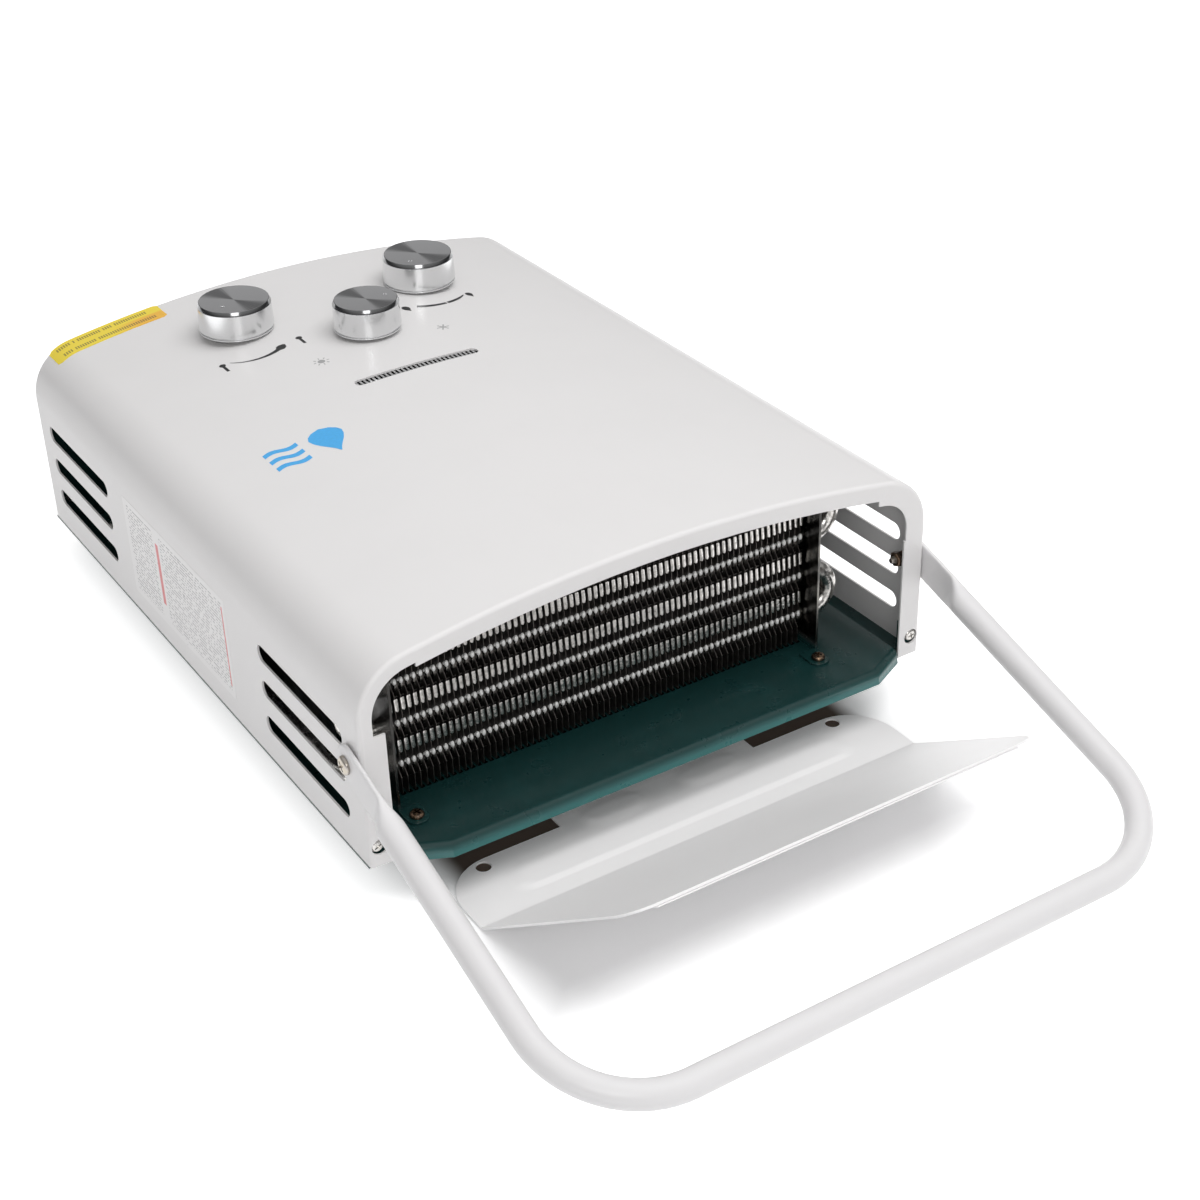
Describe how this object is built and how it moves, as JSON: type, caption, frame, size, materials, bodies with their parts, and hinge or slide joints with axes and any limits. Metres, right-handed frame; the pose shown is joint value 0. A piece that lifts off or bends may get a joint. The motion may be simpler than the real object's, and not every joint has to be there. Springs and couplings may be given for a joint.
{
  "type": "portable propane water heater",
  "caption": "Portable gas water heater lying on its back: arched sheet-steel case, finned heat exchanger, rain hood, swinging carry handle, control knobs and threaded pipe fittings.",
  "frame": {"origin": "on the wall plane, under the middle of the case's width and level with the case's exhaust end", "axes": "+Z out of the front cover, away from the wall; +Y along the case from the exhaust end to the inlet end; +X to the right, seen from the exhaust end with the front up"},
  "size_m": [0.3054, 0.5722, 0.1469],
  "materials": {
    "cover_enamel": "gloss enamel",
    "white_paint": "gloss powder coat",
    "panel_paint": "gloss dark green paint",
    "plated_screw": "yellow zinc plated",
    "dark_steel": "dark, fine brushed",
    "galvanised": "galvanised sheet",
    "bare_steel": "bright zinc plated",
    "chromed": "polished",
    "cast_aluminium": "as cast",
    "black_plastic": "fine texture",
    "black_rubber": "matt",
    "fin_sheet": "lead-coated, dull",
    "plated_tube": "tinned",
    "ceramic": "glazed ceramic",
    "brass": "turned",
    "cell_jacket": "printed jacket, plain blue"
  },
  "bodies": {
    "case": {"front_cover": "cover_enamel", "back_panel": "panel_paint", "cover_screws": "plated_screw", "window_mesh": "dark_steel", "near_rail": "galvanised", "far_rail": "galvanised", "rail_screws": "plated_screw", "rain_hood": "white_paint", "hood_rivets": "bare_steel", "handle_bolts": "bare_steel", "handle_washers": "bare_steel", "handle_nuts": "bare_steel", "gas_valve": "cast_aluminium", "gas_solenoid": "black_plastic", "season_valve": "cast_aluminium", "water_valve": "cast_aluminium", "diaphragm_cover": "cast_aluminium", "diaphragm": "black_rubber", "diaphragm_screws": "plated_screw", "micro_switch": "black_plastic", "fin_pack": "fin_sheet", "exchanger_tubes": "plated_tube", "return_bends": "plated_tube", "left_end_plate": "dark_steel", "right_end_plate": "dark_steel", "exchanger_screws": "plated_screw", "combustion_chamber": "galvanised", "ignition_electrode": "ceramic", "flame_sensor": "ceramic", "overheat_switch": "black_plastic", "burner_frame": "bare_steel", "burner_bars": "bare_steel", "gas_jets": "brass", "gas_manifold": "cast_aluminium", "gas_inlet": "brass", "cold_inlet": "brass", "hot_outlet": "brass", "fitting_seals": "black_rubber", "lock_nuts": "brass", "drain_plug": "brass", "cold_pipe": "plated_tube", "hot_pipe": "plated_tube", "gas_pipe": "cast_aluminium", "igniter_module": "black_plastic", "battery_box": "black_plastic", "battery_cells": "cell_jacket", "battery_contacts": "bare_steel", "lid_hinge_pin": "bare_steel"},
    "handle": {"carry_handle": "white_paint"},
    "gas_control": {"gas_knob": "chromed", "gas_spindle": "bare_steel"},
    "water_control": {"water_knob": "chromed", "water_spindle": "bare_steel"},
    "season_control": {"season_knob": "chromed", "season_spindle": "bare_steel"},
    "battery_door": {"battery_lid": "black_plastic"}
  },
  "joints": [
    {"name": "handle_swing", "type": "hinge", "parent": "case", "child": "handle", "pos_m": [0, 0.008, 0.0712], "axis": [-1, 0, 0], "range_deg": [0, 76]},
    {"name": "gas_knob_turn", "type": "hinge", "parent": "case", "child": "gas_control", "pos_m": [-0.053, 0.3087, 0.12916], "axis": [0, 0, 1], "range_deg": [0, 110]},
    {"name": "water_knob_turn", "type": "hinge", "parent": "case", "child": "water_control", "pos_m": [0.053, 0.3087, 0.12916], "axis": [0, 0, 1], "range_deg": [0, 110]},
    {"name": "season_knob_turn", "type": "hinge", "parent": "case", "child": "season_control", "pos_m": [0, 0.2654, 0.1312], "axis": [0, 0, 1], "range_deg": [-168, 0]},
    {"name": "battery_lid_swing", "type": "hinge", "parent": "case", "child": "battery_door", "pos_m": [0.1069, 0.3722, 0.0294], "axis": [-1, 0, 0], "range_deg": [0, 100]}
  ]
}
